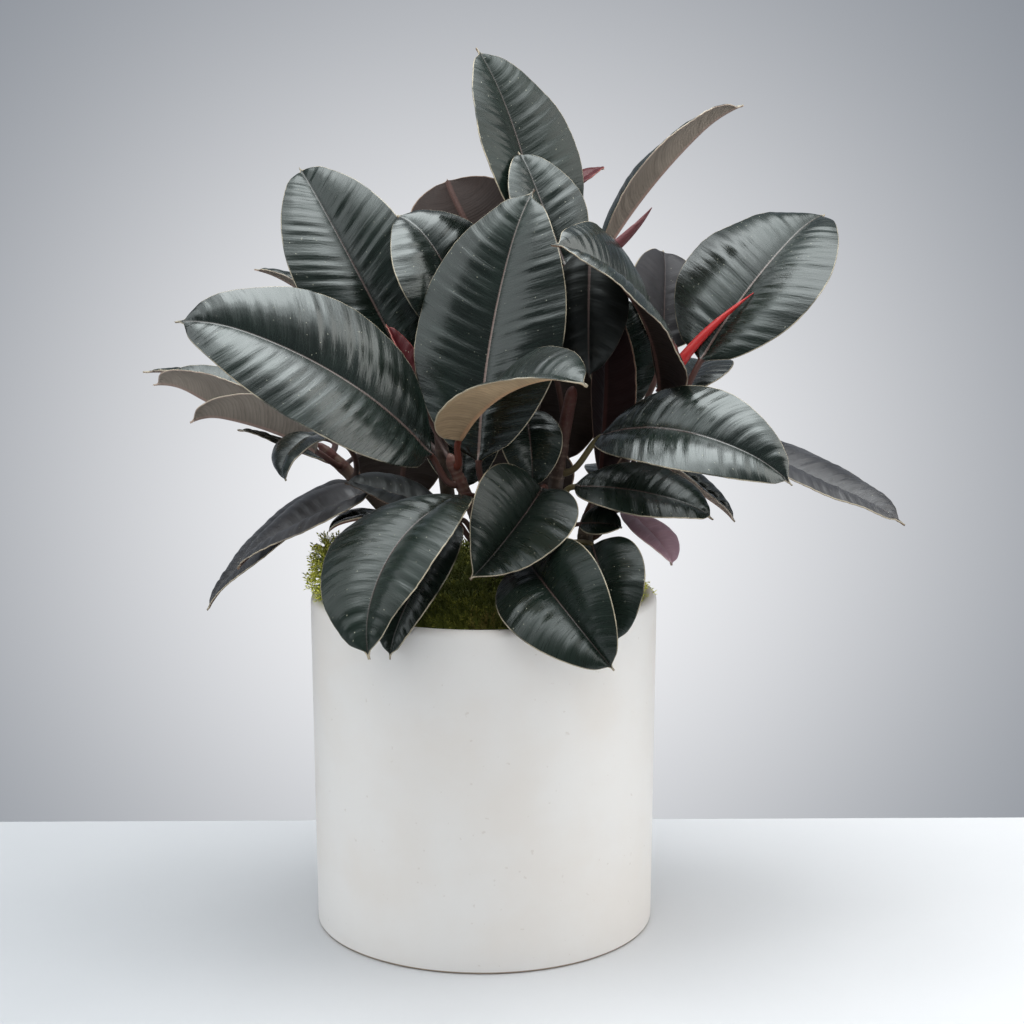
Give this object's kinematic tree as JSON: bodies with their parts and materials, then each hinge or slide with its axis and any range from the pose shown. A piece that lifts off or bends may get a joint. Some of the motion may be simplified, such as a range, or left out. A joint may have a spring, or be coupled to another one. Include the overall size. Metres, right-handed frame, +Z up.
{
  "type": "potted rubber plant",
  "caption": "Free-standing potted rubber plant: dark glossy oval leaves on bare stems over a moss cushion, in a plain matte white cylinder pot.",
  "frame": {"origin": "centre of the pot's flat base, on the surface it stands on", "axes": "+Z up along the pot's axis, -Y towards the viewer's side of the plant, +X to the viewer's right"},
  "size_m": [0.4932, 0.3232, 0.5568],
  "materials": {
    "ceramic": "matte",
    "soil": "rough",
    "moss": "rough",
    "bark": "satin",
    "leaf": "gloss",
    "young_leaf": "satin",
    "sheath": "satin"
  },
  "bodies": {
    "root": {"pot": "ceramic", "soil": "soil", "moss": "moss", "stem_a": "bark", "stem_b": "bark", "stem_c": "bark", "stem_d": "bark", "stem_e": "bark", "stem_f": "bark", "leaf_a1": "leaf", "leaf_a2": "leaf", "leaf_a3": "leaf", "leaf_a4": "leaf", "leaf_a5": "leaf", "leaf_a6": "leaf", "leaf_a7": "young_leaf", "leaf_b1": "leaf", "leaf_b2": "leaf", "leaf_b3": "leaf", "leaf_b4": "leaf", "leaf_b5": "leaf", "leaf_b6": "leaf", "leaf_b7": "leaf", "leaf_c1": "leaf", "leaf_c2": "leaf", "leaf_c3": "leaf", "leaf_c4": "leaf", "leaf_c5": "leaf", "leaf_c6": "leaf", "leaf_c7": "leaf", "leaf_c8": "leaf", "leaf_d1": "leaf", "leaf_d2": "leaf", "leaf_d3": "leaf", "leaf_d4": "leaf", "leaf_d5": "leaf", "leaf_d6": "leaf", "leaf_d7": "leaf", "leaf_d8": "leaf", "leaf_e1": "leaf", "leaf_e2": "leaf", "leaf_e3": "leaf", "leaf_e4": "leaf", "leaf_e5": "leaf", "leaf_e6": "leaf", "leaf_e7": "leaf", "leaf_e8": "leaf", "leaf_e9": "young_leaf", "leaf_e10": "leaf", "leaf_e11": "leaf", "leaf_f1": "leaf", "leaf_f2": "leaf", "leaf_f3": "leaf", "leaf_f4": "leaf", "leaf_f5": "leaf", "sheath_c": "sheath", "sheath_e": "sheath"}
  },
  "joints": []
}
